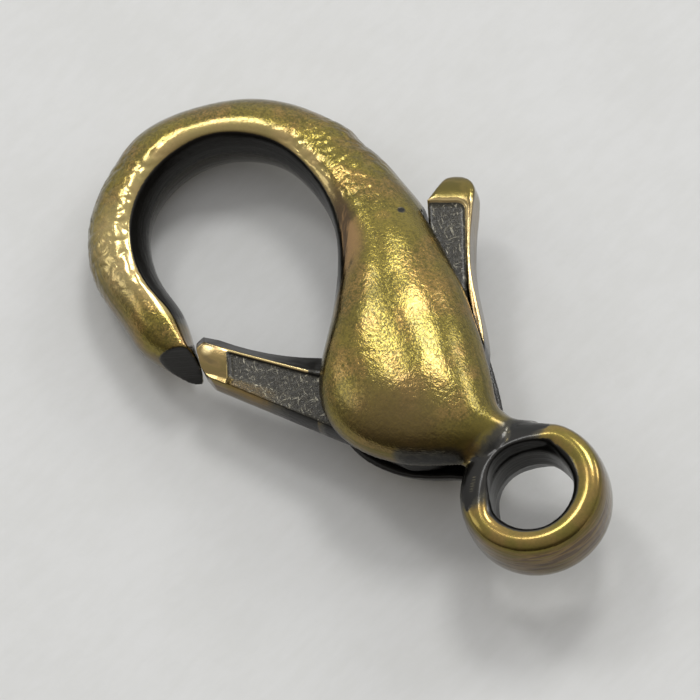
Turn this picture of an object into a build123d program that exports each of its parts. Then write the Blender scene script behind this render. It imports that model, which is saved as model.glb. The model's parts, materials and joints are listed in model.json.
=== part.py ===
from build123d import *
import math
import os

# A cast lobster-claw clasp. It lies flat, front face up (+Z). The origin is the centre of
# the eye, half way through its thickness. +X runs from the eye to the hook loop, and +Y is
# the side that the gate closes. All sizes are in millimetres.

# ---- Eye: the ring at the tail that a jump ring or a cord goes through ----
EYE_BORE_RADIUS = 1.56
EYE_RIM_WIDTH = 0.99
EYE_THICKNESS = 2.36
EYE_RIDGE_INSET = 0.20
EYE_RIDGE_DROP = 0.10
EYE_BORE_BEVEL = 0.12
EYE_BORE_LENGTH = 1.0
EYE_MOUTH_LEAN = 0.75
EYE_MOUTH_BEARING = -8.0

# ---- Hook loop ----
LOOP_REACH = 15.0
LOOP_SIDE_STEP = 0.5
LOOP_OPENING_RADIUS = 3.05
LOOP_HEEL_WIDTH = 2.35
LOOP_WIDTH = 1.93
LOOP_THICKNESS = 2.56
LOOP_WALL_HEIGHT = 2.16
LOOP_WALL_DRAFT = 0.22
HOOK_RETURN = 2.68
HOOK_TIP_RISE = 1.08
HOOK_TIP_WIDTH = 0.50
HOOK_TIP_THICKNESS = 2.1
HOOK_FACE_TURN = 42.0
HOOK_FACE_SLOPE = 18.0

# ---- Hollow body with its two domed shells ----
BODY_REACH = 6.2
BODY_WIDTH = 6.2
BODY_THICKNESS = 4.8
BODY_LIP_HEIGHT = 2.0
BACK_SHELL_INSET = 0.30
NECK_WALL = 0.05

# ---- Lever: gate and thumb tab in one piece, on a riveted pin ----
PIVOT_REACH = 4.4
PIVOT_SIDE_STEP = 0.9
PIN_RADIUS = 0.5
PIN_COVER = 0.6
LEVER_THICKNESS = 1.3
LEVER_HUB_RADIUS = 1.12
LEVER_SHOULDER = 1.40
GATE_THROAT_REACH = 4.93
GATE_THROAT_RISE = 0.61
GATE_ROOT_REACH = 2.8
GATE_NOSE_DEPTH = 1.20
GATE_SEAT_LENGTH = 1.12
GATE_BEVEL = 0.50
GATE_EDGE_WIDTH = 0.12
GATE_EDGE_ROUND = 0.30
GATE_GAP = 0.12
TAB_REACH = 10.30
TAB_SIDE_REACH = 6.45
TAB_ROOT_REACH = 2.0
TAB_FLANK_DROP = 3.60
TAB_END_WIDTH = 1.24
TAB_END_SWELL = 0.22
TAB_END_ROUND = 1.05
TAB_PANEL_DEPTH = 0.10
TAB_PANEL_CORNER = 0.30
OPENING_ANGLE = 25.0

# ---- Return spring: a bent strip between the web of the body and the gate ----
SPRING_THICKNESS = 0.18
SPRING_WIDTH = 1.0
SPRING_BEND_RADIUS = 0.30
SPRING_LEG = 2.4

# ---- Fits ----
PIN_CLEARANCE = 0.04
SLOT_CLEARANCE = 0.07
SPRING_SEAT_GAP = 0.03
WEB_GAP = 0.20
TAB_GAP = 0.16

eye_radius = EYE_BORE_RADIUS + EYE_RIM_WIDTH
loop_centre = Vector(LOOP_REACH, LOOP_SIDE_STEP)
pivot = Vector(PIVOT_REACH, PIVOT_SIDE_STEP)
slot_half = LEVER_THICKNESS / 2 + SLOT_CLEARANCE
pin_top = slot_half + PIN_COVER


def polar(centre, radius, degrees):
    """The point at a radius and a bearing from a centre."""
    turn = math.radians(degrees)
    return centre + Vector(radius * math.cos(turn), radius * math.sin(turn))


def between(start, end, share, bulge=0.0):
    """A point at a share of the way, set off to the right of it by a share of the distance."""
    way = end - start
    aside = Vector(way.Y, -way.X)
    return start + way * share + aside * bulge


# ---------------------------------------------------------------- claw body


def rib(inner, outer, lip, crown, crown_share, draft=0.0, inset=0.0):
    """One cross-section of the casting.

    The inner wall swells to its middle, where the mould parts, and its edges are set back
    by the draft. The front and back faces rise from these edges to a crown and fall round
    to the outer side.
    """
    across = outer - inner
    width = across.length
    plane = Plane(origin=inner, x_dir=across, z_dir=across.cross(Vector(0, 0, 1)))

    def face_line(side, start):
        return Bezier(
            (start, side * lip),
            (start + 0.04 * width, side * (lip + 0.75 * (crown - lip))),
            ((crown_share - 0.15) * width, side * 1.10 * crown),
            ((crown_share + 0.30) * width, side * 1.16 * crown),
            (width, side * 0.72 * crown),
            (width, 0),
        )

    back = draft + inset
    wall = Bezier((back, -lip), (-draft - inset / 2, 0), (draft, lip))
    outline = wall + face_line(1, draft) + face_line(-1, back)
    return plane * make_face(outline)


def opened(point):
    """Where a point of the lever comes to when the gate is fully open."""
    turn = math.radians(OPENING_ANGLE)
    arm = point - pivot
    return pivot + Vector(
        arm.X * math.cos(turn) + arm.Y * math.sin(turn),
        arm.Y * math.cos(turn) - arm.X * math.sin(turn),
    )


def body_point(along, aside):
    """A point of the body outline, as shares of the loop's reach and the body's half width."""
    return Vector(along * LOOP_REACH, aside * BODY_WIDTH / 2)


def hook_tip():
    """The inner corner of the hook's tip, where the gate comes to rest."""
    return Vector(
        LOOP_REACH - HOOK_RETURN,
        LOOP_SIDE_STEP + LOOP_OPENING_RADIUS + HOOK_TIP_RISE,
    )


def body_ribs():
    """Ribs from inside the eye to the widest part of the body."""
    half = BODY_THICKNESS / 2
    lip = BODY_LIP_HEIGHT / 2
    belly = BODY_REACH / LOOP_REACH
    # share of the belly's reach, inner side, outer side, lip, crown
    rows = [
        (0.31, 0.20, -0.66, 0.50 * lip, 0.43 * half),
        (0.37, 0.30, -0.53, 0.60 * lip, 0.51 * half),
        (0.47, 0.48, -0.45, 0.85 * lip, 0.73 * half),
        (0.63, 0.75, -0.61, lip, 0.90 * half),
        (0.80, 0.93, -0.81, lip, 0.98 * half),
        (1.00, 1.01, -1.02, lip, half),
        (1.24, 0.89, -1.23, lip, 0.98 * half),
    ]
    ribs = []
    for share, inside, outside, edge, crown in rows:
        inner = body_point(share * belly, inside)
        outer = body_point(share * belly, outside)
        inset = BACK_SHELL_INSET if share > 0.4 else 0.0
        ribs.append(rib(inner, outer, edge, crown, 0.45, 0.0, inset))
    return ribs


def arm_ribs():
    """Ribs from the body's shoulder to the heel of the loop."""
    half = BODY_THICKNESS / 2
    lip = BODY_LIP_HEIGHT / 2
    wall = LOOP_WALL_HEIGHT / 2
    loop_crown = LOOP_THICKNESS / 2
    shoulder = body_point(0.58, 0.565)
    flank = body_point(1.24 * BODY_REACH / LOOP_REACH, -1.23)
    heel_in = polar(loop_centre, 1.1 * LOOP_OPENING_RADIUS, -122)
    heel_out = polar(loop_centre, LOOP_OPENING_RADIUS + LOOP_HEEL_WIDTH, -90)
    # share and bulge of the inner line, share and bulge of the outer line, rise to the body
    rows = [
        (0.00, 0.000, 0.21, 0.039, 0.86),
        (0.25, 0.052, 0.40, 0.056, 0.66),
        (0.50, 0.082, 0.58, 0.058, 0.42),
        (0.75, 0.075, 0.76, 0.044, 0.22),
        (1.00, 0.000, 0.90, 0.018, 0.07),
    ]
    ribs = []
    for share_in, bulge_in, share_out, bulge_out, rise in rows:
        inner = between(shoulder, heel_in, share_in, bulge_in)
        outer = between(flank, heel_out, share_out, bulge_out)
        crown = loop_crown + rise * (half - loop_crown)
        edge = wall + rise * (lip - wall)
        draft = LOOP_WALL_DRAFT * share_in
        inset = BACK_SHELL_INSET * (1 - share_in)
        ribs.append(rib(inner, outer, edge, crown, 0.40, draft, inset))
    return ribs


def loop_ribs():
    """Ribs round the loop, from its heel to its top."""
    wall = LOOP_WALL_HEIGHT / 2
    crown = LOOP_THICKNESS / 2
    heel = LOOP_HEEL_WIDTH - LOOP_WIDTH
    # bearing, change of the inner radius, change of the width, draft
    rows = [
        (-90, 0.03, heel, 1.0),
        (-61, 0.00, 0.33 * heel, 1.1),
        (-34, 0.00, -0.02, 1.2),
        (-7, -0.04, 0.17, 1.2),
        (19, -0.11, 0.12, 1.4),
        (43, -0.18, 0.22, 1.7),
        (66, -0.20, 0.16, 1.9),
        (88, -0.10, 0.00, 1.9),
    ]
    ribs = []
    for bearing, shift, extra, draft in rows:
        radius = LOOP_OPENING_RADIUS + shift
        inner = polar(loop_centre, radius, bearing)
        outer = polar(loop_centre, radius + LOOP_WIDTH + extra, bearing)
        ribs.append(rib(inner, outer, wall, crown, 0.36, draft * LOOP_WALL_DRAFT))
    return ribs


def hook_ribs():
    """Ribs from the top of the loop to past the hook's tip."""
    top_in = polar(loop_centre, LOOP_OPENING_RADIUS, 90)
    top_out = polar(loop_centre, LOOP_OPENING_RADIUS + LOOP_WIDTH, 90)
    tip_in = hook_tip()
    tip_out = tip_in + Vector(-0.25, HOOK_TIP_WIDTH)
    # share of the way to the tip, bulge of the inner line, bulge of the outer line, draft
    rows = [
        (0.27, -0.088, 0.060, 1.6),
        (0.54, -0.092, 0.060, 1.2),
        (0.80, -0.065, 0.040, 0.8),
        (1.15, 0.030, -0.020, 0.5),
    ]
    ribs = []
    for share, bulge_in, bulge_out, draft in rows:
        inner = between(top_in, tip_in, share, bulge_in)
        outer = between(top_out, tip_out, share, bulge_out)
        shrink = 1 + share * (HOOK_TIP_THICKNESS / LOOP_THICKNESS - 1)
        wall = LOOP_WALL_HEIGHT / 2 * shrink
        crown = LOOP_THICKNESS / 2 * shrink
        ribs.append(rib(inner, outer, wall, crown, 0.40, draft * LOOP_WALL_DRAFT))
    return ribs


def eye_ring():
    """The eye: a ring with a crowned face, a soft ridge and a rounded outer side."""
    half = EYE_THICKNESS / 2
    bevel_radius = EYE_BORE_RADIUS + EYE_BORE_BEVEL
    ridge_radius = eye_radius - EYE_RIDGE_INSET
    ridge_height = half - EYE_RIDGE_DROP

    def face_line(side):
        bevel = Line(
            (EYE_BORE_RADIUS, side * (ridge_height - EYE_BORE_BEVEL)),
            (bevel_radius, side * ridge_height),
        )
        crown = Bezier(
            (bevel_radius, side * ridge_height),
            ((bevel_radius + ridge_radius) / 2, side * (half + EYE_RIDGE_DROP)),
            (ridge_radius, side * ridge_height),
        )
        flank = Bezier(
            (ridge_radius, side * ridge_height),
            (eye_radius, side * 0.80 * ridge_height),
            (eye_radius, 0),
        )
        return bevel + crown + flank

    bore_line = Line(
        (EYE_BORE_RADIUS, EYE_BORE_BEVEL - ridge_height),
        (EYE_BORE_RADIUS, ridge_height - EYE_BORE_BEVEL),
    )
    profile = make_face(bore_line + face_line(1) + face_line(-1))
    return revolve(Plane.XZ * profile, Axis.Z)


def eye_bore():
    """The hole through the eye. At the front and the back its mouth leans toward the body."""
    hole = Cylinder(EYE_BORE_RADIUS, 2 * BODY_THICKNESS)
    inner = EYE_BORE_LENGTH / 2
    outer = BODY_THICKNESS / 2
    lean = polar(Vector(0, 0), (outer - inner) * EYE_MOUTH_LEAN, EYE_MOUTH_BEARING)
    throat = Pos(0, 0, inner) * Circle(0.97 * EYE_BORE_RADIUS)
    rim = Pos(lean.X, lean.Y, outer) * Circle(EYE_BORE_RADIUS)
    mouth = loft([throat, rim], ruled=True)
    return hole + mouth + mouth.mirror(Plane.XY)


def web_points():
    """Corners of the web that stays between the gate and the tab inside the body.

    One side is parallel to the open gate, with room for the spring. The other side is
    parallel to the tab's inner side.
    """
    open_root = opened(gate_root())
    gate_way = (opened(gate_edge_points()[0]) - open_root).normalized()
    gate_side = open_root - Vector(0, SPRING_THICKNESS + WEB_GAP)
    tab_root, tab_inside = tab_inner_points()
    tab_way = (tab_inside - tab_root).normalized()
    tab_side = tab_root + Vector(-tab_way.Y, tab_way.X) * TAB_GAP
    gap = gate_side - tab_side
    along = (gap.X * gate_way.Y - gap.Y * gate_way.X) / (tab_way.X * gate_way.Y - tab_way.Y * gate_way.X)
    apex = tab_side + tab_way * along
    return apex, apex + gate_way * 4.2, tab_side + tab_way * 6.2


def lever_slot():
    """The slot that splits the body into a front and a back shell."""
    apex, throat_end, flank_end = web_points()
    hub_side = PIVOT_REACH - 1.1 * LEVER_HUB_RADIUS - TAB_GAP
    far = 3 * BODY_WIDTH
    outline = Polyline(
        (0, far),
        (throat_end.X, far),
        throat_end,
        apex,
        flank_end,
        (flank_end.X + 0.8, -far),
        (hub_side, -far),
        (hub_side, 0),
        (0, PIVOT_SIDE_STEP),
        close=True,
    )
    room = Cylinder(eye_radius + NECK_WALL, BODY_THICKNESS)
    return extrude(make_face(outline), slot_half, both=True) - room


def pin_hole():
    """A blind hole, drilled from the back and stopping under the front dome."""
    depth = pin_top + BODY_THICKNESS
    drill = Cylinder(PIN_RADIUS, depth, align=(Align.CENTER, Align.CENTER, Align.MAX))
    return Pos(PIVOT_REACH, PIVOT_SIDE_STEP, pin_top) * drill


def hook_end():
    """What is cut off beyond the hook's slanting end face."""
    size = 2 * LOOP_THICKNESS
    block = Box(LOOP_WIDTH, size, size, align=(Align.MAX, Align.CENTER, Align.CENTER))
    return Pos(hook_tip()) * Rot(0, HOOK_FACE_SLOPE, -HOOK_FACE_TURN) * block


# ---------------------------------------------------------------- lever


def gate_edge_points():
    """Corners of the gate's inner edge: the throat beside the body, the knee and the nose."""
    throat = pivot + Vector(GATE_THROAT_REACH, GATE_THROAT_RISE)
    knee = hook_tip() + GATE_NOSE_DEPTH * Vector(1 / 12, -1)
    nose = hook_tip() + GATE_NOSE_DEPTH * Vector(0.5, -0.75)
    return throat, knee, nose


def gate_root():
    """The hidden corner of the gate's inner edge, inside the body."""
    return pivot + GATE_ROOT_REACH * Vector(1, -0.25)


def gate_side_points():
    """Ends of the gate's straight outer side, at the hub and at the nose."""
    heel = pivot + Vector(0.6 * LEVER_SHOULDER, 1.22 * LEVER_SHOULDER)
    return heel, hook_tip() + Vector(-GATE_SEAT_LENGTH, 0.18 * GATE_SEAT_LENGTH - GATE_GAP)


def tab_end():
    return Vector(TAB_REACH, -TAB_SIDE_REACH)


def tab_axis():
    """The way that the thumb tab points."""
    return Vector(0.67, -0.74).normalized()


def tab_inner_points():
    """Ends of the tab's straight side that faces the loop."""
    return pivot + TAB_ROOT_REACH * Vector(1, -1.125), tab_end() + TAB_END_WIDTH * Vector(0.306, 1.274)


def lever_face():
    """The lever's outline: gate to the right, thumb tab below, hub round the pin."""
    throat, knee, nose = gate_edge_points()
    heel, seat_end = gate_side_points()
    gap = Vector(0, GATE_GAP)
    seat_knee = hook_tip() + GATE_SEAT_LENGTH * Vector(-0.375, 0.107) - gap
    seat_start = hook_tip() + GATE_NOSE_DEPTH * Vector(0.5, -0.367) - gap
    tab_root, tab_inside = tab_inner_points()
    tab_right = tab_end() + TAB_END_WIDTH * Vector(0.516, 0.435)
    tab_left = tab_end() + TAB_END_WIDTH * Vector(-0.484, 0.194)
    flank = pivot + TAB_FLANK_DROP * Vector(0.278, -1)
    tab_side = between(flank, tab_left, 0.45, -0.05)

    outline = Polyline(heel, seat_end, seat_knee, seat_start, nose, knee)
    outline += ThreePointArc(knee, between(knee, throat, 0.5, 0.045), throat)
    crotch = pivot + TAB_ROOT_REACH * Vector(0.75, -0.725)
    outline += Polyline(throat, gate_root(), crotch, tab_root, tab_inside, tab_right)
    end = ThreePointArc(tab_right, tab_end(), tab_left)
    outline += end
    outline += Spline(
        tab_left,
        tab_side,
        flank,
        polar(pivot, 1.08 * LEVER_HUB_RADIUS, 222),
        polar(pivot, 0.96 * LEVER_HUB_RADIUS, 180),
        polar(pivot, 0.93 * LEVER_HUB_RADIUS, 140),
        polar(pivot, 1.02 * LEVER_HUB_RADIUS, 112),
        polar(pivot, LEVER_SHOULDER, 93),
        heel,
        tangents=[end % 1, (seat_end - heel).normalized()],
    )
    return make_face(outline)


def beside_gate(throat, knee, nose, bend):
    """The plan of the space on the inner side of the gate."""
    root = throat - Vector(1, 1)
    beyond = nose + Vector(2, 1)
    edge = Line(root, throat)
    edge += ThreePointArc(throat, between(throat, knee, 0.5, bend), knee)
    corners = [nose, nose + Vector(0, 1), beyond, Vector(beyond.X, root.Y - 1), root - Vector(0, 1)]
    edge += Polyline(knee, *corners, root)
    return make_face(edge)


def gate_bevel():
    """The slope along the gate's inner edge, from its middle up to its flat face."""
    throat, knee, nose = gate_edge_points()
    middle = beside_gate(throat, knee, nose, -0.045)
    top = beside_gate(
        throat + GATE_BEVEL * Vector(-0.9, 1.2),
        knee + GATE_BEVEL * Vector(-0.2, 0.9),
        nose + GATE_BEVEL * Vector(-0.9, 0.4),
        -0.01,
    )
    height = LEVER_THICKNESS / 2 + 0.01
    return loft([Pos(0, 0, GATE_EDGE_WIDTH / 2) * middle, Pos(0, 0, height) * top], ruled=True)


def rounded_bar(way, reach, rounding):
    """A bar as thick as the lever that ends in a rounded side, at a reach along the way."""
    half = LEVER_THICKNESS / 2
    start = -2 * LOOP_REACH
    ridge = reach - rounding
    profile = Polyline((ridge, half), (start, half), (start, -half), (ridge, -half))
    profile += Bezier((ridge, -half), (reach, -0.9 * half), (reach, 0))
    profile += Bezier((reach, 0), (reach, 0.9 * half), (ridge, half))
    plane = Plane(origin=(0, 0, 0), x_dir=way, z_dir=way.cross(Vector(0, 0, 1)))
    return extrude(plane * make_face(profile), 2 * LOOP_REACH, both=True)


def panel_recess():
    """The sunk panel on the tab, which runs on over the hub to the foot of the gate."""
    corner = tab_end() + TAB_END_WIDTH * Vector(-0.524, 0.548)
    across = Vector(tab_axis().Y, -tab_axis().X)
    gate_foot = pivot + Vector(0.83 * GATE_THROAT_REACH, 2.05 * GATE_THROAT_RISE)
    sunk = Polyline(
        corner,
        corner - across * 2.4 * TAB_END_WIDTH,
        pivot + Vector(0.93 * GATE_THROAT_REACH, -0.82 * GATE_THROAT_RISE),
        gate_foot,
        gate_foot + LEVER_SHOULDER * Vector(-0.79, 1.71),
        pivot + LEVER_SHOULDER * Vector(-2.1, 2.1),
        pivot + LEVER_SHOULDER * Vector(-2.1, -2.1),
        pivot + TAB_FLANK_DROP * Vector(0.444, -1),
        pivot + TAB_FLANK_DROP * Vector(0.806, -1.278),
        close=True,
    )
    face = make_face(sunk)
    corners = face.vertices().filter_by(lambda v: (Vector(v.X, v.Y) - corner).length < 0.01)
    rounded = fillet(corners, TAB_PANEL_CORNER)
    return Pos(0, 0, LEVER_THICKNESS / 2 - TAB_PANEL_DEPTH) * extrude(rounded, LEVER_THICKNESS)


def lever():
    plate = extrude(lever_face(), LEVER_THICKNESS / 2, both=True)
    heel, seat_end = gate_side_points()
    gate_way = (seat_end - heel).normalized()
    outward = Vector(-gate_way.Y, gate_way.X)
    plate = plate & rounded_bar(outward, heel.dot(outward), GATE_EDGE_ROUND)
    tab_top = tab_end().dot(tab_axis()) + TAB_END_SWELL
    plate = plate & rounded_bar(tab_axis(), tab_top, TAB_END_ROUND)
    bevel = gate_bevel()
    recess = panel_recess()
    bore = Cylinder(PIN_RADIUS + PIN_CLEARANCE, 2 * LEVER_THICKNESS)
    for cut in (bevel, recess):
        plate = plate - cut - cut.mirror(Plane.XY)
    return plate - Pos(PIVOT_REACH, PIVOT_SIDE_STEP) * bore


# ---------------------------------------------------------------- spring


def spring():
    """A strip bent into a V. One leg lies on the web, the other presses on the gate."""
    apex, throat_end, flank_end = web_points()
    throat = gate_edge_points()[0]
    root = gate_root()
    seat = SPRING_SEAT_GAP + SPRING_THICKNESS / 2
    along = (throat_end - apex).normalized()
    up = Vector(-along.Y, along.X)
    bend = apex + along * 0.35 + up * seat
    foot = bend + along * SPRING_LEG
    gate_way = (throat - root).normalized()
    gate_down = Vector(gate_way.Y, -gate_way.X)
    touch = between(root, throat, 0.62) + gate_down * seat
    path = FilletPolyline(foot, bend, touch, radius=SPRING_BEND_RADIUS)
    start = Plane(origin=path @ 0, z_dir=path % 0, x_dir=(0, 0, 1))
    return sweep(start * Rectangle(SPRING_WIDTH, SPRING_THICKNESS), path=path)


casting = loft(body_ribs() + arm_ribs() + loop_ribs() + hook_ribs())
claw_body = casting + eye_ring() - eye_bore() - hook_end() - lever_slot() - pin_hole()
pivot_pin = casting & pin_hole()
gate_lever = lever()
return_spring = spring()

os.makedirs("parts", exist_ok=True)
export_step(claw_body, "parts/claw_body.step")
export_step(gate_lever, "parts/gate_lever.step")
export_step(pivot_pin, "parts/pivot_pin.step")
export_step(return_spring, "parts/return_spring.step")
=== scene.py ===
import json
import math
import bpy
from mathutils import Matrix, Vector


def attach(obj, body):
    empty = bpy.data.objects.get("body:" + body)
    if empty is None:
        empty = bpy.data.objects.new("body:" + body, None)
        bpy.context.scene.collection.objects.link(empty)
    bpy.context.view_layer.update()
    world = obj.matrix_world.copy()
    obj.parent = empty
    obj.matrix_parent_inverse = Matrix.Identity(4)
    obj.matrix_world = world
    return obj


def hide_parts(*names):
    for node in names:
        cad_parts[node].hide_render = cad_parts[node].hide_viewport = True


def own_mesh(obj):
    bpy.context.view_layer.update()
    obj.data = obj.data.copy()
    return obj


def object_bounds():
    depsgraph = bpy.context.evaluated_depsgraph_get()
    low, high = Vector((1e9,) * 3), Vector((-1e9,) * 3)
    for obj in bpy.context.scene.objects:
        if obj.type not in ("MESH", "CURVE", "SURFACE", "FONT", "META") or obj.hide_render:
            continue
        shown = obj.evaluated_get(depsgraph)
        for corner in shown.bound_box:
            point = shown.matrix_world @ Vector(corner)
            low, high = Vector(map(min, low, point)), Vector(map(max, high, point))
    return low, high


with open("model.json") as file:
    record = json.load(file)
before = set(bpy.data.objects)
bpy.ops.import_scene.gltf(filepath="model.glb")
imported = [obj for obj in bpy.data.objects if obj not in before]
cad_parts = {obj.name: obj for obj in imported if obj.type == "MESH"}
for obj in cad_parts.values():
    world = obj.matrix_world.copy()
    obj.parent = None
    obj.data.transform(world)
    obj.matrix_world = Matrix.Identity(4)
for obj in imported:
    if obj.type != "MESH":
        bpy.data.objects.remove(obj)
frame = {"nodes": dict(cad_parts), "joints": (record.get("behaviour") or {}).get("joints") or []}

from types import SimpleNamespace

import bmesh
import bpy
import numpy as np
from mathutils import Matrix, Vector, noise
from mathutils.bvhtree import BVHTree

# A cast lobster-claw clasp in antique brass, lying on pale paper. Lengths here are in
# metres, and the meshes are reworked in millimetres.
MM = 0.001
CAD_BOX = [list(corner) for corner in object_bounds()]
PIVOT = np.array(frame["joints"][0]["pos_m"][:2]) / MM

# ---------------------------------------------------------------- camera

VIEW_TILT = math.radians(27)
VIEW_LEAN = Vector((-0.94, 0.332, 0)).normalized()
VIEW_ROLL = math.atan2(0.9023, 0.4311)
VIEW_TARGET = Vector((8.81, 0.61, 0.0)) * MM
VIEW_DISTANCE = 0.50
VIEW_WIDTH = 23.753 * MM
SENSOR = 36.0


def view_axes():
    """The camera's right, up and back directions: square on to the clasp, then leaned back."""
    side = Vector((-VIEW_LEAN.y, VIEW_LEAN.x, 0))
    down = VIEW_LEAN * math.cos(VIEW_TILT) - Vector((0, 0, math.sin(VIEW_TILT)))
    back = VIEW_LEAN * math.sin(VIEW_TILT) + Vector((0, 0, math.cos(VIEW_TILT)))
    right = down * math.cos(VIEW_ROLL) + side * math.sin(VIEW_ROLL)
    up = back.cross(right)
    return right, up, back


RIGHT, UP, BACK = view_axes()


def place_facing(obj, location, target, up):
    back = (location - target).normalized()
    right = up.cross(back).normalized()
    frame_up = back.cross(right)
    rotation = Matrix((right, frame_up, back)).transposed().to_4x4()
    obj.matrix_world = Matrix.Translation(location) @ rotation


camera = bpy.data.objects.new("camera", bpy.data.cameras.new("camera"))
bpy.context.scene.collection.objects.link(camera)
camera.data.sensor_width = SENSOR
camera.data.lens = SENSOR * VIEW_DISTANCE / VIEW_WIDTH
camera.data.clip_start = 0.01
place_facing(camera, VIEW_TARGET + BACK * VIEW_DISTANCE, VIEW_TARGET, UP)
bpy.context.scene.camera = camera
bpy.context.scene.view_settings.view_transform = "Standard"

# ---------------------------------------------------------------- floor and light

FACES_DOWN = -0.9
FLOOR_HALF = 0.6
LAMP_DISTANCE = 0.50
SKY = (
    (0.00, (0.10, 0.082, 0.070)),
    (0.28, (0.18, 0.165, 0.155)),
    (0.50, (0.50, 0.49, 0.48)),
    (0.72, (0.72, 0.72, 0.73)),
    (1.00, (1.06, 1.08, 1.10)),
)


def resting_plane():
    """The plane that the clasp comes to rest on, face up: a point on it and its normal."""
    hull = bmesh.new()
    for node in ("claw_body", "gate_lever"):
        hull.from_mesh(frame["nodes"][node].data)
    centre = sum((v.co for v in hull.verts), Vector()) / len(hull.verts)
    bmesh.ops.convex_hull(hull, input=hull.verts)
    best = None
    for face in hull.faces:
        if face.normal.z > FACES_DOWN:
            continue
        a, b, c = (v.co.xy for v in face.verts[:3])
        sides = []
        for p, q in ((a, b), (b, c), (c, a)):
            edge = q - p
            to_centre = centre.xy - p
            sides.append(edge.x * to_centre.y - edge.y * to_centre.x)
        if all(s <= 0 for s in sides) or all(s >= 0 for s in sides):
            best = (face.verts[0].co.copy(), -face.normal.copy())
    hull.free()
    return best


rest_point, rest_normal = resting_plane()

floor_mesh = bpy.data.meshes.new("floor")
builder = bmesh.new()
bmesh.ops.create_grid(builder, x_segments=1, y_segments=1, size=FLOOR_HALF)
builder.to_mesh(floor_mesh)
builder.free()
floor = bpy.data.objects.new("floor", floor_mesh)
bpy.context.scene.collection.objects.link(floor)
floor_tilt = rest_normal.to_track_quat("Z", "Y").to_matrix().to_4x4()
floor.matrix_world = Matrix.Translation(rest_point) @ floor_tilt


def area_light(name, direction, size, power):
    """A softbox in a direction given as shares of the view's right, up and back."""
    toward = (RIGHT * direction[0] + UP * direction[1] + BACK * direction[2]).normalized()
    light = bpy.data.lights.new(name, "AREA")
    light.shape = "RECTANGLE"
    light.size = size[0]
    light.size_y = size[1]
    light.energy = power
    lamp = bpy.data.objects.new(name, light)
    bpy.context.scene.collection.objects.link(lamp)
    place_facing(lamp, VIEW_TARGET + toward * LAMP_DISTANCE, VIEW_TARGET, BACK)


area_light("key", (0.10, 0.86, 0.50), (0.12, 0.11), 0.60)
area_light("key_left", (-0.42, 0.77, 0.48), (0.10, 0.10), 0.34)
area_light("fill_right", (0.62, 0.74, 0.32), (0.13, 0.12), 0.27)
area_light("fill_left", (-0.90, 0.30, 0.32), (0.12, 0.18), 0.10)


def studio_sky():
    """A room that is bright above the clasp in the view and dim below it."""
    world = bpy.data.worlds.new("studio")
    bpy.context.scene.world = world
    world.use_nodes = True
    tree = world.node_tree
    way = tree.nodes.new("ShaderNodeTexCoord").outputs["Generated"]
    rise = tree.nodes.new("ShaderNodeVectorMath")
    rise.operation = "DOT_PRODUCT"
    tree.links.new(way, rise.inputs[0])
    rise.inputs[1].default_value = UP * 0.5
    height = tree.nodes.new("ShaderNodeMath")
    height.operation = "ADD"
    height.inputs[1].default_value = 0.5
    tree.links.new(rise.outputs["Value"], height.inputs[0])
    ramp = tree.nodes.new("ShaderNodeValToRGB")
    tree.links.new(height.outputs[0], ramp.inputs["Fac"])
    stops = ramp.color_ramp.elements
    stops[0].color = (*SKY[0][1], 1)
    stops[0].position = SKY[0][0]
    stops[1].color = (*SKY[-1][1], 1)
    stops[1].position = SKY[-1][0]
    for position, colour in SKY[1:-1]:
        stops.new(position).color = (*colour, 1)
    tree.links.new(ramp.outputs["Color"], tree.nodes["Background"].inputs["Color"])


studio_sky()

# ---------------------------------------------------------------- materials


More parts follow.
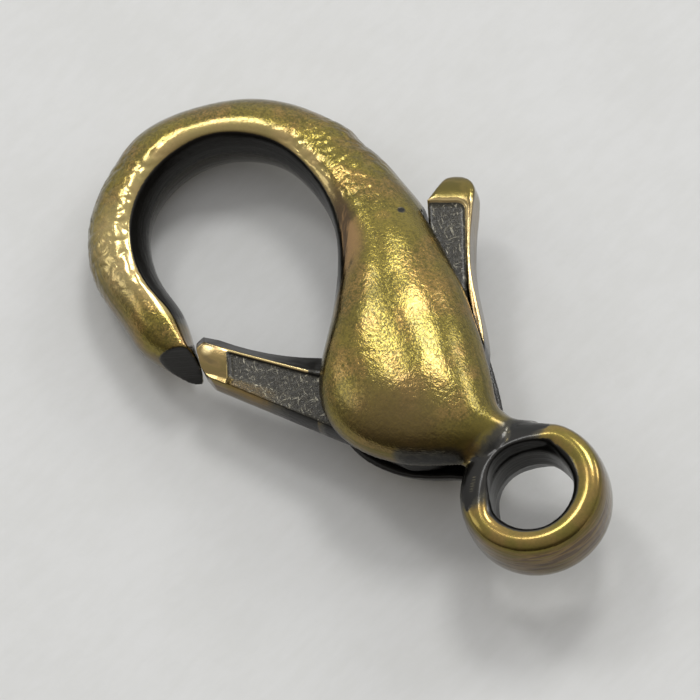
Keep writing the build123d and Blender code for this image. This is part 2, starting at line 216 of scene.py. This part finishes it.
class Graph:
    """A short way to write a material's nodes."""

    def __init__(self, name):
        self.material = bpy.data.materials.new(name)
        self.material.use_nodes = True
        self.tree = self.material.node_tree
        self.shader = self.tree.nodes["Principled BSDF"]

    def node(self, kind, settings=None, **inputs):
        made = self.tree.nodes.new(kind)
        for key, value in (settings or {}).items():
            setattr(made, key, value)
        for key, value in inputs.items():
            self.feed(made, key, value)
        return made

    def feed(self, node, socket, value):
        """Links or sets a socket, given by its name or as "in" and its number."""
        if isinstance(socket, str) and socket.startswith("in"):
            target = node.inputs[int(socket[2:])]
        else:
            target = node.inputs[socket]
        if isinstance(value, bpy.types.NodeSocket):
            self.tree.links.new(value, target)
        else:
            target.default_value = value

    def place(self, stretch=(1, 1, 1), turn=0.0):
        """Object coordinates, turned about Z and then stretched."""
        spot = self.node("ShaderNodeTexCoord").outputs["Object"]
        if turn:
            turned = self.node("ShaderNodeMapping", {}, Vector=spot, Rotation=(0, 0, turn))
            spot = turned.outputs[0]
        return self.node("ShaderNodeMapping", {}, Vector=spot, Scale=stretch).outputs[0]

    def attribute(self, name):
        return self.node("ShaderNodeAttribute", {"attribute_name": name}).outputs["Fac"]

    def math(self, operation, a, b):
        return self.node("ShaderNodeMath", {"operation": operation}, in0=a, in1=b).outputs[0]

    def times(self, a, b):
        return self.math("MULTIPLY", a, b)

    def noise(self, vector, scale, detail, rough=0.5, distortion=0.0):
        made = self.node("ShaderNodeTexNoise", {}, Vector=vector, Scale=scale, Detail=detail)
        made.inputs["Roughness"].default_value = rough
        made.inputs["Distortion"].default_value = distortion
        return made.outputs["Fac"]

    def ramp(self, value, low, high):
        made = self.node("ShaderNodeMapRange", {"interpolation_type": "SMOOTHSTEP"}, Value=value)
        made.inputs["From Min"].default_value = low
        made.inputs["From Max"].default_value = high
        return made.outputs["Result"]

    def mix(self, share, a, b):
        made = self.node("ShaderNodeMix", {"data_type": "RGBA"}, in0=share, in6=a, in7=b)
        return made.outputs[2]

    def blend(self, share, a, b):
        made = self.node("ShaderNodeMix", {"data_type": "FLOAT"}, in0=share, in2=a, in3=b)
        return made.outputs[0]

    def bump(self, height, distance, strength=1.0, below=None):
        made = self.node("ShaderNodeBump", {}, Height=height, Strength=strength, Distance=distance)
        if below is not None:
            self.feed(made, "Normal", below)
        return made.outputs["Normal"]


MOTTLE = 260
FIBRES = (900, 2600, 1)
FIBRE_TURN = 0.5
TOOTH = 900
TOOTH_DEPTH = 0.00005
PAPER_DARK = (0.67, 0.67, 0.65, 1)
PAPER_LIGHT = (0.70, 0.70, 0.685, 1)


def paper():
    """A matt sheet with a faint mottle and fibres."""
    g = Graph("paper")
    place = g.place()
    mottle = g.noise(place, MOTTLE, 4.0, 0.6)
    fibre = g.noise(g.place(FIBRES, FIBRE_TURN), 1.0, 3.0, 0.6)
    shade = g.math("ADD", g.times(mottle, 0.6), g.times(fibre, 0.4))
    g.feed(g.shader, "Base Color", g.mix(g.ramp(shade, 0.35, 0.65), PAPER_DARK, PAPER_LIGHT))
    g.shader.inputs["Roughness"].default_value = 0.9
    g.shader.inputs["Specular IOR Level"].default_value = 0.2
    g.feed(g.shader, "Normal", g.bump(g.noise(place, TOOTH, 3.0), TOOTH_DEPTH, 0.3))
    return g.material


floor_mesh.materials.append(paper())

GOLD = (0.225, 0.175, 0.034, 1)
WARM_GOLD = (0.30, 0.19, 0.055, 1)
OLIVE = (0.105, 0.085, 0.017, 1)
COPPER = (0.32, 0.19, 0.08, 1)
COPPER_DARK = (0.09, 0.055, 0.028, 1)
# Pale polished gold, for rubbed edges and for painted highlights.
POLISH_AND_HIGHLIGHT = (0.80, 0.62, 0.30, 1)
# The tarnish and black colours serve the patina and also painted shade.
TARNISH_AND_SHADE = (0.055, 0.050, 0.036, 1)
BLACK_PATINA_AND_SHADE = (0.018, 0.017, 0.015, 1)
BROWN = (0.17, 0.115, 0.042, 1)
CAST_GREY = (0.26, 0.24, 0.18, 1)

# Noise scales, in cells to the metre.
GRAIN = 13500
SPECK = 7000
CLOUD = 620
PATCHES = 900
DRAWN_LINES = (500, 500, 5200)
RUNGS = (3500, 14000, 2500)
POSTS = (14000, 4500, 2500)
CAST_TURN = 0.47

# Depths of the relief that is too fine for the mesh, in metres.
PIT_DEPTH = 0.00003
GRAIN_DEPTH = 0.000012
LINE_DEPTH = 0.00004
MARK_DEPTH = 0.00010

# The masks hold patina and wear, and also painted shade, painted highlights and a painted dark
# reflection.
MASKS = ("soot", "copper", "shine", "streak", "panel", "brown", "polish")


def worn_brass(g, place, grain, speck, lines, mask):
    """The colour of the metal: gold and olive grain, copper bands and polished edges, with painted
    highlights and a painted dark reflection mixed in.
    """
    cloud = g.noise(place, CLOUD, 3.0, 0.6)
    worn = g.math("ADD", g.times(grain, 0.5), g.times(speck, 0.5))
    worn = g.math("ADD", worn, g.times(g.math("SUBTRACT", cloud, 0.5), 0.35))
    worn = g.ramp(worn, 0.34, 0.64)
    worn = g.blend(g.times(mask["polish"], 0.75), worn, 0.65)
    patches = g.ramp(g.noise(place, PATCHES, 2.0, 0.5), 0.42, 0.66)
    colour = g.mix(worn, OLIVE, g.mix(patches, GOLD, WARM_GOLD))
    # A browner, darker patch on the lower dome is a painted dark reflection.
    colour = g.mix(g.times(mask["brown"], 0.7), colour, BROWN)
    coppery = g.mix(g.ramp(lines, 0.44, 0.56), COPPER_DARK, COPPER)
    colour = g.mix(g.times(mask["copper"], 0.95), colour, coppery)
    streaks = g.times(mask["streak"], g.ramp(lines, 0.44, 0.60))
    colour = g.mix(g.times(streaks, 0.85), colour, OLIVE)
    # Rubbed edges and painted highlights are both mixed toward pale polished gold.
    return worn, g.mix(g.times(mask["shine"], 0.8), colour, POLISH_AND_HIGHLIGHT)


def antique_brass(name):
    """Polished brass over a dark patina, which stays wherever the wheel didn't reach; its masks also
    carry painted shade, painted highlights and a painted dark reflection.
    """
    g = Graph(name)
    place = g.place()
    grain = g.noise(place, GRAIN, 2.0, 0.6)
    speck = g.noise(place, SPECK, 3.0, 0.65, 0.4)
    lines = g.noise(g.place(DRAWN_LINES), 1.0, 3.0, 0.6)
    rungs = g.noise(g.place(RUNGS, CAST_TURN), 0.8, 3.0, 0.6, 1.2)
    posts = g.noise(g.place(POSTS, CAST_TURN), 0.8, 3.0, 0.6, 1.2)
    marks = g.math("MAXIMUM", rungs, posts)
    mask = {key: g.attribute(key) for key in MASKS}

    worn, colour = worn_brass(g, place, grain, speck, lines, mask)
    ragged = g.times(g.math("SUBTRACT", speck, 0.5), 0.4)
    # This mask is patina, black in the hollows, and in places painted shade; it darkens the colour
    # toward tarnish and then black.
    soot = g.math("ADD", mask["soot"], g.times(ragged, g.ramp(mask["soot"], 0.02, 0.3)))
    black = g.ramp(soot, 0.45, 0.80)
    colour = g.mix(g.ramp(soot, 0.10, 0.50), colour, TARNISH_AND_SHADE)
    colour = g.mix(black, colour, BLACK_PATINA_AND_SHADE)
    colour = g.mix(g.times(mask["panel"], 0.55), colour, TARNISH_AND_SHADE)
    bright_marks = g.times(g.ramp(marks, 0.58, 0.68), 0.9)
    colour = g.mix(g.times(mask["panel"], bright_marks), colour, CAST_GREY)
    g.feed(g.shader, "Base Color", colour)

    smoothed = g.math("MAXIMUM", g.math("MAXIMUM", mask["copper"], mask["shine"]), mask["polish"])
    roughness = g.blend(smoothed, g.blend(worn, 0.22, 0.11), 0.18)
    g.feed(g.shader, "Roughness", g.blend(black, roughness, 0.40))
    g.shader.inputs["Metallic"].default_value = 1.0
    g.shader.inputs["Coat Weight"].default_value = 0.35
    g.shader.inputs["Coat Roughness"].default_value = 0.12

    rough_cast = g.math("SUBTRACT", 1.0, g.times(smoothed, 0.85))
    drawn = g.times(g.math("MAXIMUM", mask["streak"], mask["copper"]), 0.5)
    pits = g.bump(speck, PIT_DEPTH, g.times(rough_cast, 0.4))
    relief = g.bump(grain, GRAIN_DEPTH, g.times(rough_cast, 0.5), pits)
    relief = g.bump(lines, LINE_DEPTH, drawn, relief)
    relief = g.bump(marks, MARK_DEPTH, g.times(mask["panel"], 0.9), relief)
    g.feed(g.shader, "Normal", relief)
    g.feed(g.shader, "Coat Normal", pits)
    return g.material


# ---------------------------------------------------------------- mesh helpers, in millimetres

RAYS = 28
RAY_START = 0.06
OUTLOOK = 5.0
WELD = 1e-4
TINY = 1e-6
BOX_INSET = 0.004


def clean_copy(node):
    """The CAD node's mesh, with its split edges joined again."""
    work = bmesh.new()
    work.from_mesh(frame["nodes"][node].data)
    bmesh.ops.scale(work, vec=(1 / MM, 1 / MM, 1 / MM), verts=work.verts)
    bmesh.ops.remove_doubles(work, verts=work.verts, dist=WELD)
    mesh = bpy.data.meshes.new(node + "_copy")
    work.to_mesh(mesh)
    work.free()
    return mesh


def recast(name, node, voxel, smoothing):
    """A denser copy of a rigid CAD node, with the soft edges of a tumbled casting."""
    piece = bpy.data.objects.new(name, clean_copy(node))
    bpy.context.scene.collection.objects.link(piece)
    remesh = piece.modifiers.new("remesh", "REMESH")
    remesh.mode = "VOXEL"
    remesh.voxel_size = voxel
    remesh.use_smooth_shade = True
    smooth = piece.modifiers.new("smooth", "SMOOTH")
    smooth.factor = 0.5
    smooth.iterations = smoothing
    graph = bpy.context.evaluated_depsgraph_get()
    result = bpy.data.meshes.new_from_object(piece.evaluated_get(graph))
    piece.modifiers.clear()
    piece.data = result
    return piece


def spread(count):
    """Directions spread evenly over a half sphere round +Z, denser toward its pole."""
    golden_turn = math.pi * (3 - math.sqrt(5))
    made = []
    for i in range(count):
        share = (i + 0.5) / count
        radius = math.sqrt(share)
        turn = i * golden_turn
        made.append(Vector((radius * math.cos(turn), radius * math.sin(turn), math.sqrt(1 - share))))
    return made


OUTLOOK_WAYS = spread(RAYS)


def solids_tree():
    """The claw and the lever as one ray-casting tree."""
    both = bmesh.new()
    for node in ("claw_body", "gate_lever"):
        both.from_mesh(clean_copy(node))
    tree = BVHTree.FromBMesh(both)
    both.free()
    return tree


def write_masks(piece, masks):
    for name, values in masks.items():
        layer = piece.data.attributes.new(name, "FLOAT", "POINT")
        layer.data.foreach_set("value", np.clip(values, 0, 1).astype(np.float32))


def surface(piece):
    """The piece's points, normals and edges as arrays."""
    mesh = piece.data
    points = np.empty(len(mesh.vertices) * 3)
    mesh.vertices.foreach_get("co", points)
    normals = np.empty(len(mesh.vertices) * 3)
    mesh.vertices.foreach_get("normal", normals)
    edges = np.empty(len(mesh.edges) * 2, dtype=np.int64)
    mesh.edges.foreach_get("vertices", edges)
    return points.reshape(-1, 3), normals.reshape(-1, 3), edges.reshape(-1, 2)


def move_points(piece, points):
    """Moves the piece's points, a hair inside the box of the CAD part."""
    low, high = np.array(CAD_BOX) / MM
    points = np.clip(points, low + BOX_INSET, high - BOX_INSET)
    piece.data.vertices.foreach_set("co", points.ravel())
    piece.data.update()


def averaged(values, edges, rounds):
    """Values spread over their neighbours a number of times."""
    count = np.bincount(edges.ravel(), minlength=len(values))
    for _ in range(rounds):
        total = np.bincount(edges[:, 0], values[edges[:, 1]], len(values))
        total += np.bincount(edges[:, 1], values[edges[:, 0]], len(values))
        values = 0.5 * values + 0.5 * total / np.maximum(count, 1)
    return values


def averaged_points(points, edges, rounds):
    return np.stack([averaged(points[:, axis], edges, rounds) for axis in range(3)], axis=1)


def relaxed(points, edges, share, rounds):
    """Points moved toward their neighbours' middle, each by its own share."""
    return points + (averaged_points(points, edges, rounds) - points) * share[:, None]


def sharpness(points, normals, edges):
    """How far the surface turns away: above 0 for a crisp edge, below 0 in a hollow."""
    bend = ((points - averaged_points(points, edges, 1)) * normals).sum(1) * 2
    return averaged(bend, edges, 1)


def shut_in(points, normals, edges, tree):
    """For each point, how much of its outlook is shut in by the part."""
    values = np.zeros(len(points))
    for index, (point, normal) in enumerate(zip(points, normals)):
        normal = Vector(normal)
        turn = normal.to_track_quat("Z", "Y").to_matrix()
        start = Vector(point) + normal * RAY_START
        hits = sum(tree.ray_cast(start, turn @ way, OUTLOOK)[0] is not None for way in OUTLOOK_WAYS)
        values[index] = hits / RAYS
    return averaged(values, edges, 2)


def step(values, low, high):
    """A smooth rise from 0 at low to 1 at high."""
    share = np.clip((values - low) / (high - low), 0, 1)
    return share * share * (3 - 2 * share)


def fall(values, low, high):
    """A smooth fall from 1 at low to 0 at high."""
    return 1 - step(values, low, high)


def near(points, centre, reach, fade):
    """1 round a place on the plan, falling to 0 over the fade beyond the reach."""
    return fall(np.linalg.norm(points[:, :2] - np.array(centre), axis=1), reach, reach + fade)


def along(points, start, end):
    """Each point's share along a line on the plan, and its distance to the left of it."""
    way = np.array(end) - np.array(start)
    length = np.linalg.norm(way)
    way = way / length
    off = points[:, :2] - np.array(start)
    return off @ way / length, off @ np.array((-way[1], way[0]))


def from_line(points, start, end, span):
    """Distance from a line on the plan. Past its ends, the share along it counts by the span."""
    share, aside = along(points, start, end)
    return np.hypot(aside, np.maximum(np.maximum(-share, share - 1), 0) * span)


def ripples(points, size, seed):
    """Worm-like creases, from 0 in a crease to about 1 on the flesh between."""
    shift = Vector((seed, 2.3 * seed, -seed))
    values = [abs(noise.noise(Vector(p) / size + shift)) for p in points]
    return np.minimum(np.array(values) * 4, 1)


def swells(points, size, seed):
    """Broad gentle noise, from about -1 to 1."""
    shift = Vector((seed, -seed, 1.7 * seed))
    return np.array([noise.noise(Vector(p) / size + shift) for p in points])


def finish_piece(piece, body, material, node):
    piece.data.transform(Matrix.Scale(MM, 4))
    piece.data.materials.clear()
    piece.data.materials.append(material)
    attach(piece, body)
    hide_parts(node)


# ---------------------------------------------------------------- the claw

# Places and ways on the plan.
LOOP_CENTRE = (15.0, 0.5)
LOOP_INSIDE = 3.05
LOOP_WRINKLES = (17.9, 2.6)
# The loop's upper left, where a painted highlight goes.
LOOP_LEFT = (16.6, 3.4)
ARM_WRINKLES = (13.9, -3.4)
NICK = (10.7, -3.9)
HOOK_TIP = (12.6, 4.9)
HOOK_FACE = (-0.71, 0.67, 0.23)
EYE_REACH = 2.7
BORE_FLAT = (-0.675, -0.738)
MOUTH_WAY = (0.99, 0.14)
NECK_CORNER = (1.7, -1.95)
NECK_ENDS = ((1.4, 1.45), (1.75, -1.25))
# The dome's steep foot by the neck, which gets painted shade.
DOME_FOOT = ((3.9, 2.2), (2.6, 1.2))
# A place on the dome's lower side that is painted darker brown, a painted dark reflection.
DOME_DARK_REFLECTION = (4.6, 1.9)
# Two short strokes by the neck that are painted highlights.
GLINTS = (((1.36, 1.50), (1.62, 1.12)), ((1.80, -0.56), (2.02, -0.88)))

# Line lengths as from_line counts them.
NECK_SPAN = 2.8
FOOT_SPAN = 1.64
GLINT_SPAN = 0.4

CLAW_VOXEL = 0.077
WRINKLE_SIZE = 0.36
WRINKLE_DEPTH = 0.030
SWELL_SIZE = 1.3
SWELL_HEIGHT = 0.03
NICK_DEPTH = 0.025
BORE_SKIN = 0.07
BORE_FLAT_DEPTH = 0.10
MOUTH_DRAW = 0.36
MOUTH_START = 0.5
MOUTH_HEIGHT = 0.68


def loop_view(points, normals):
    """Distance from the loop's centre, how far the skin faces it, and 1 on the loop's inside."""
    to_loop = np.array(LOOP_CENTRE) - points[:, :2]
    away = np.linalg.norm(to_loop, axis=1)
    facing = (normals[:, :2] * to_loop).sum(1) / np.maximum(away, TINY)
    near_loop = fall(away, LOOP_INSIDE + 1.6, LOOP_INSIDE + 2.6)
    return away, facing, near_loop


def eye_view(points, normals):
    """Distance from the eye's axis, the way out from it, and how far the skin faces it."""
    radius = np.linalg.norm(points[:, :2], axis=1)
    outward = points[:, :2] / np.maximum(radius, TINY)[:, None]
    return radius, outward, -(normals[:, :2] * outward).sum(1)


def shape_claw(claw, loop):
    """The tumbled skin, the nick on the arm and the drawn-in mouth of the eye."""
    points, normals, edges = surface(claw)
    height = np.abs(points[:, 2])
    _, facing, near_loop = loop
    outer = (1 - step(facing, 0.25, 0.5) * near_loop) * step(points[:, 0], 3.0, 4.0)
    wrinkled = np.maximum(near(points, ARM_WRINKLES, 1.0, 2.2), near(points, LOOP_WRINKLES, 1.8, 1.9))
    raised = wrinkled * outer * (ripples(points, WRINKLE_SIZE, 3.1) - 1) * WRINKLE_DEPTH
    raised += outer * swells(points, SWELL_SIZE, 5.7) * SWELL_HEIGHT
    raised -= near(points, NICK, 0.03, 0.14) * step(normals[:, 2], 0.2, 0.5) * NICK_DEPTH

    radius, outward, inward = eye_view(points, normals)
    bore = step(inward, 0.15, 0.5) * fall(radius, 1.7, 2.1)
    bore_depth = BORE_SKIN + BORE_FLAT_DEPTH * step(outward @ np.array(BORE_FLAT), 0.2, 0.95)
    bore_depth = bore * bore_depth * (1 - 0.6 * step(height, 0.5, 1.2))
    mouth = step(outward @ np.array(MOUTH_WAY), 0.1, 0.9) * fall(radius, 2.2, 2.55)
    mouth = mouth * np.clip((height - MOUTH_START) / MOUTH_HEIGHT, 0, 1)
    points[:, :2] -= outward * np.maximum(bore_depth, MOUTH_DRAW * mouth)[:, None]
    points = points + normals * raised[:, None]
    move_points(claw, relaxed(points, edges, near(points, NECK_CORNER, 0.3, 0.5), 30))


def claw_soot(points, normals, loop, hidden):
    """Where the skin goes black: patina in shut-in skin, the loop's inner wall, bore, neck and cut
    end, the back shell's lip and a nick; painted shade on the dome's steep foot; and a painted
    reflection that lightens the inner wall toward the floor.
    """
    up = points[:, 2]
    away, facing, near_loop = loop
    radius, _, inward = eye_view(points, normals)
    # The inner wall's patina is painted lighter toward the floor, a painted reflection of the floor
    # there.
    wall = step(facing, 0.55, 0.80) * near_loop * (0.50 + 0.5 * step(up, -0.2, 0.8))
    bore = step(inward, 0.30, 0.62) * fall(radius, EYE_REACH - 0.5, EYE_REACH)
    neck = fall(from_line(points, *NECK_ENDS, NECK_SPAN), 0.0, 1.15)
    # Painted shade on the dome's steep foot by the neck.
    foot_shade = fall(from_line(points, *DOME_FOOT, FOOT_SPAN), 0.0, 0.75)
    foot_shade = foot_shade * step(up, 0.6, 1.0) * fall(up, 1.2, 1.9)
    back_lip = fall(-up, 1.0, 1.4) * step(-up, 0.3, 0.5) * step(away, 3.6, 4.2)
    back_lip = back_lip * step(points[:, 0], 2.2, 2.6) * fall(points[:, 0], 11.0, 12.0)
    hook_face = near(points, HOOK_TIP, 2.2, 0.3) * step(normals @ np.array(HOOK_FACE), 0.80, 0.93)
    nick = near(points, NICK, 0.06, 0.10)
    shut = step(hidden, 0.45, 0.75)
    return np.maximum.reduce([shut, wall, bore, neck, foot_shade * 0.75, hook_face, back_lip, nick])


def paint_claw(claw, loop, tree):
    """The claw's masks: patina in the hollows and polish on the high places, with painted highlights,
    painted shade and a painted dark reflection.
    """
    points, normals, edges = surface(claw)
    top = normals[:, 2]
    steep = 1 - np.abs(top)
    flank = step(steep, 0.50, 0.80)
    hidden = shut_in(points, normals, edges, tree)
    crisp = step(sharpness(points, normals, edges), 0.010, 0.030)
    away, facing, near_loop = loop
    radius, _, _ = eye_view(points, normals)
    eye = fall(radius, EYE_REACH, EYE_REACH + 0.4)
    band = step(facing, 0.10, 0.34) * near_loop * fall(points[:, 0], 12.0, 14.5)
    crown = step(away, 3.10, 3.25) * fall(away, 3.65, 4.0)
    crown = crown * step(top, 0.3, 0.6) * step(points[:, 0], 12.0, 13.5)
    # A painted highlight on the loop's upper left.
    loop_left_highlight = near(points, LOOP_LEFT, 0.9, 1.8) * step(top, 0.5, 0.9)
    # Painted highlights: two glint strokes by the neck, which also lift the black there.
    strokes = [fall(from_line(points, *ends, GLINT_SPAN), 0.02, 0.13) for ends in GLINTS]
    glints = np.maximum.reduce(strokes) * step(top, 0.1, 0.4)
    soot = claw_soot(points, normals, loop, hidden)
    shine = [crisp * (1 - 0.5 * flank), glints, 0.35 * crown, 0.45 * loop_left_highlight]
    write_masks(claw, {
        "soot": soot * (1 - 0.9 * crisp) * (1 - 0.6 * glints),
        "copper": np.maximum(band, flank * (0.55 + 0.45 * eye)),
        "shine": np.maximum.reduce(shine),
        "streak": step(steep, 0.16, 0.5) * (1 - band),
        # A painted dark reflection: a browner patch on the dome's lower side.
        "brown": near(points, DOME_DARK_REFLECTION, 0.6, 2.2) * step(top, 0.2, 0.5),
        "polish": np.maximum(eye, crown),
    })


# ---------------------------------------------------------------- the lever

# The gate's flat runs from its tip along the bevel to its foot, and the tab ends across TAB_WAY.
GATE_TIP = (12.47, 3.93)
GATE_FOOT = (8.88, 2.11)
GATE_LENGTH = 4.8
GATE_SIDE = -1.0
# A painted highlight goes at this corner of the gate's facet.
GLINT = (12.2, 4.05)
TAB_END = (10.30, -6.45)
TAB_WAY = (0.67, -0.74)

LEVER_VOXEL = 0.045
HALF_THICKNESS = 0.65
PANEL_DEPTH = 0.10
FACET_LENGTH = 0.85
FACET_SLANT = 0.45
FACET_TILT = 0.04
FACET_CURL = 0.14


def lever_zones(points):
    """The parts of the lever: the gate, the worn facet at its tip, the tab and the tab's nose."""
    share, aside = along(points, GATE_TIP, GATE_FOOT)
    zones = SimpleNamespace(run=share * math.dist(GATE_TIP, GATE_FOOT), inside=-aside)
    zones.on_gate = (zones.run < GATE_LENGTH) & (zones.inside > GATE_SIDE)
    zones.facet_edge = FACET_LENGTH + FACET_SLANT * np.clip(zones.inside, 0, 1)
    zones.facet = fall(zones.run, zones.facet_edge - 0.08, zones.facet_edge)
    zones.facet = zones.facet * zones.on_gate * step(zones.inside, -0.05, 0.05)
    to_end = (points[:, :2] - np.array(TAB_END)) @ np.array(TAB_WAY)
    zones.on_tab = step(-points[:, 1], 1.5, 2.2)
    zones.nose = step(to_end, -0.95, -0.75) * zones.on_tab
    return zones


def shape_lever(lever, zones):
    """The sunk panel and tilted facet of the gate, and the rounded nose of the tab."""
    points, _, edges = surface(lever)
    sunk = step(zones.inside, 0.09, 0.15) * step(zones.run, zones.facet_edge, zones.facet_edge + 0.1)
    slope = FACET_TILT * np.clip(1 - zones.run / FACET_LENGTH, 0, 1)
    slope = slope + FACET_CURL * np.clip(zones.inside, 0, 1) ** 2
    level = HALF_THICKNESS - PANEL_DEPTH * sunk * zones.on_gate - zones.facet * slope
    points[:, 2] = np.clip(points[:, 2], -level, level)
    points = relaxed(points, edges, zones.nose, 14)
    move_points(lever, relaxed(points, edges, zones.on_tab, 6))


def paint_lever(lever, zones, tree):
    """The lever's masks: dark cast panels, a gold facet and band, rubbed edges, and painted
    highlights along the sunk panels' rims and at the facet's corner.
    """
    points, normals, edges = surface(lever)
    depth = np.abs(points[:, 2])
    level = np.abs(normals[:, 2])
    flat = step(level, 0.85, 0.97)
    sunken = fall(depth, 0.575, 0.625)
    hidden = shut_in(points, normals, edges, tree)
    crisp = step(sharpness(points, normals, edges), 0.006, 0.018)
    open_air = fall(hidden, 0.4, 0.7)
    on_gate, facet = zones.on_gate, zones.facet
    off_nose = 1 - zones.nose

    band = step(zones.inside, 0.75, 1.10) * fall(zones.run, 2.0, 4.7) * on_gate
    # A painted highlight: a bright line on the step wall along the gate panel's upper edge.
    gate_rim_highlight = step(zones.inside, 0.0, 0.04) * fall(zones.inside, 0.10, 0.14) * step(level, 0.3, 0.6)
    gate_rim_highlight = gate_rim_highlight * step(zones.run, 0.6, 0.8) * fall(zones.run, 3.8, 4.0) * on_gate
    # A painted highlight at the facet's upper corner.
    glint = facet * near(points, GLINT, 0.02, 0.28)
    # A painted highlight on the step wall round the tab's sunk panel; with the tab's rubbed edges, it
    # lifts the black.
    tab_rim_highlight = step(depth, 0.56, 0.59) * fall(depth, 0.632, 0.648) * step(level, 0.4, 0.6)
    tab_wear_and_highlight = np.maximum(crisp * ~on_gate, tab_rim_highlight * zones.on_tab * off_nose) * open_air

    gate_soot = 1 - np.maximum.reduce([0.9 * band, facet, gate_rim_highlight])
    tab_soot = np.maximum(flat * sunken * off_nose, step(hidden, 0.5, 0.8))
    soot = np.maximum(np.where(on_gate, gate_soot, tab_soot), near(points, PIVOT, 3.2, 1.0))
    tab_copper = 0.75 * off_nose + 0.3 * zones.nose
    write_masks(lever, {
        "soot": soot * (1 - 0.9 * tab_wear_and_highlight),
        "copper": np.where(on_gate, facet * 0.75 + band * 0.5, tab_copper),
        "shine": np.maximum.reduce([tab_wear_and_highlight, glint, gate_rim_highlight, facet * 0.12]),
        "streak": 0.6 * (1 - flat) + zones.nose + 0.8 * facet,
        "panel": flat * (1 - facet) * off_nose * (1 - gate_rim_highlight) * np.where(on_gate, 1, sunken),
        "polish": np.ones(len(points)),
    })


# ---------------------------------------------------------------- the pieces in place

SPRING_VOXEL = 0.04

brass = antique_brass("antique_brass")
pin_metal = antique_brass("pin_metal")
solids = solids_tree()

# The zones are measured before the shaping, so that the wear doesn't fray their edges.
claw = recast("claw_casting", "claw_body", CLAW_VOXEL, 2)
loop = loop_view(*surface(claw)[:2])
shape_claw(claw, loop)
paint_claw(claw, loop, solids)
finish_piece(claw, "claw", brass, "claw_body")

lever = recast("gate_and_tab", "gate_lever", LEVER_VOXEL, 2)
zones = lever_zones(surface(lever)[0])
shape_lever(lever, zones)
paint_lever(lever, zones, solids)
finish_piece(lever, "lever", brass, "gate_lever")

pin_mesh = frame["nodes"]["pivot_pin"].data
pin_mesh.materials.clear()
pin_mesh.materials.append(pin_metal)

spring_piece = recast("gate_spring", "return_spring", SPRING_VOXEL, 1)
finish_piece(spring_piece, "claw", pin_metal, "return_spring")
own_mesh(spring_piece)
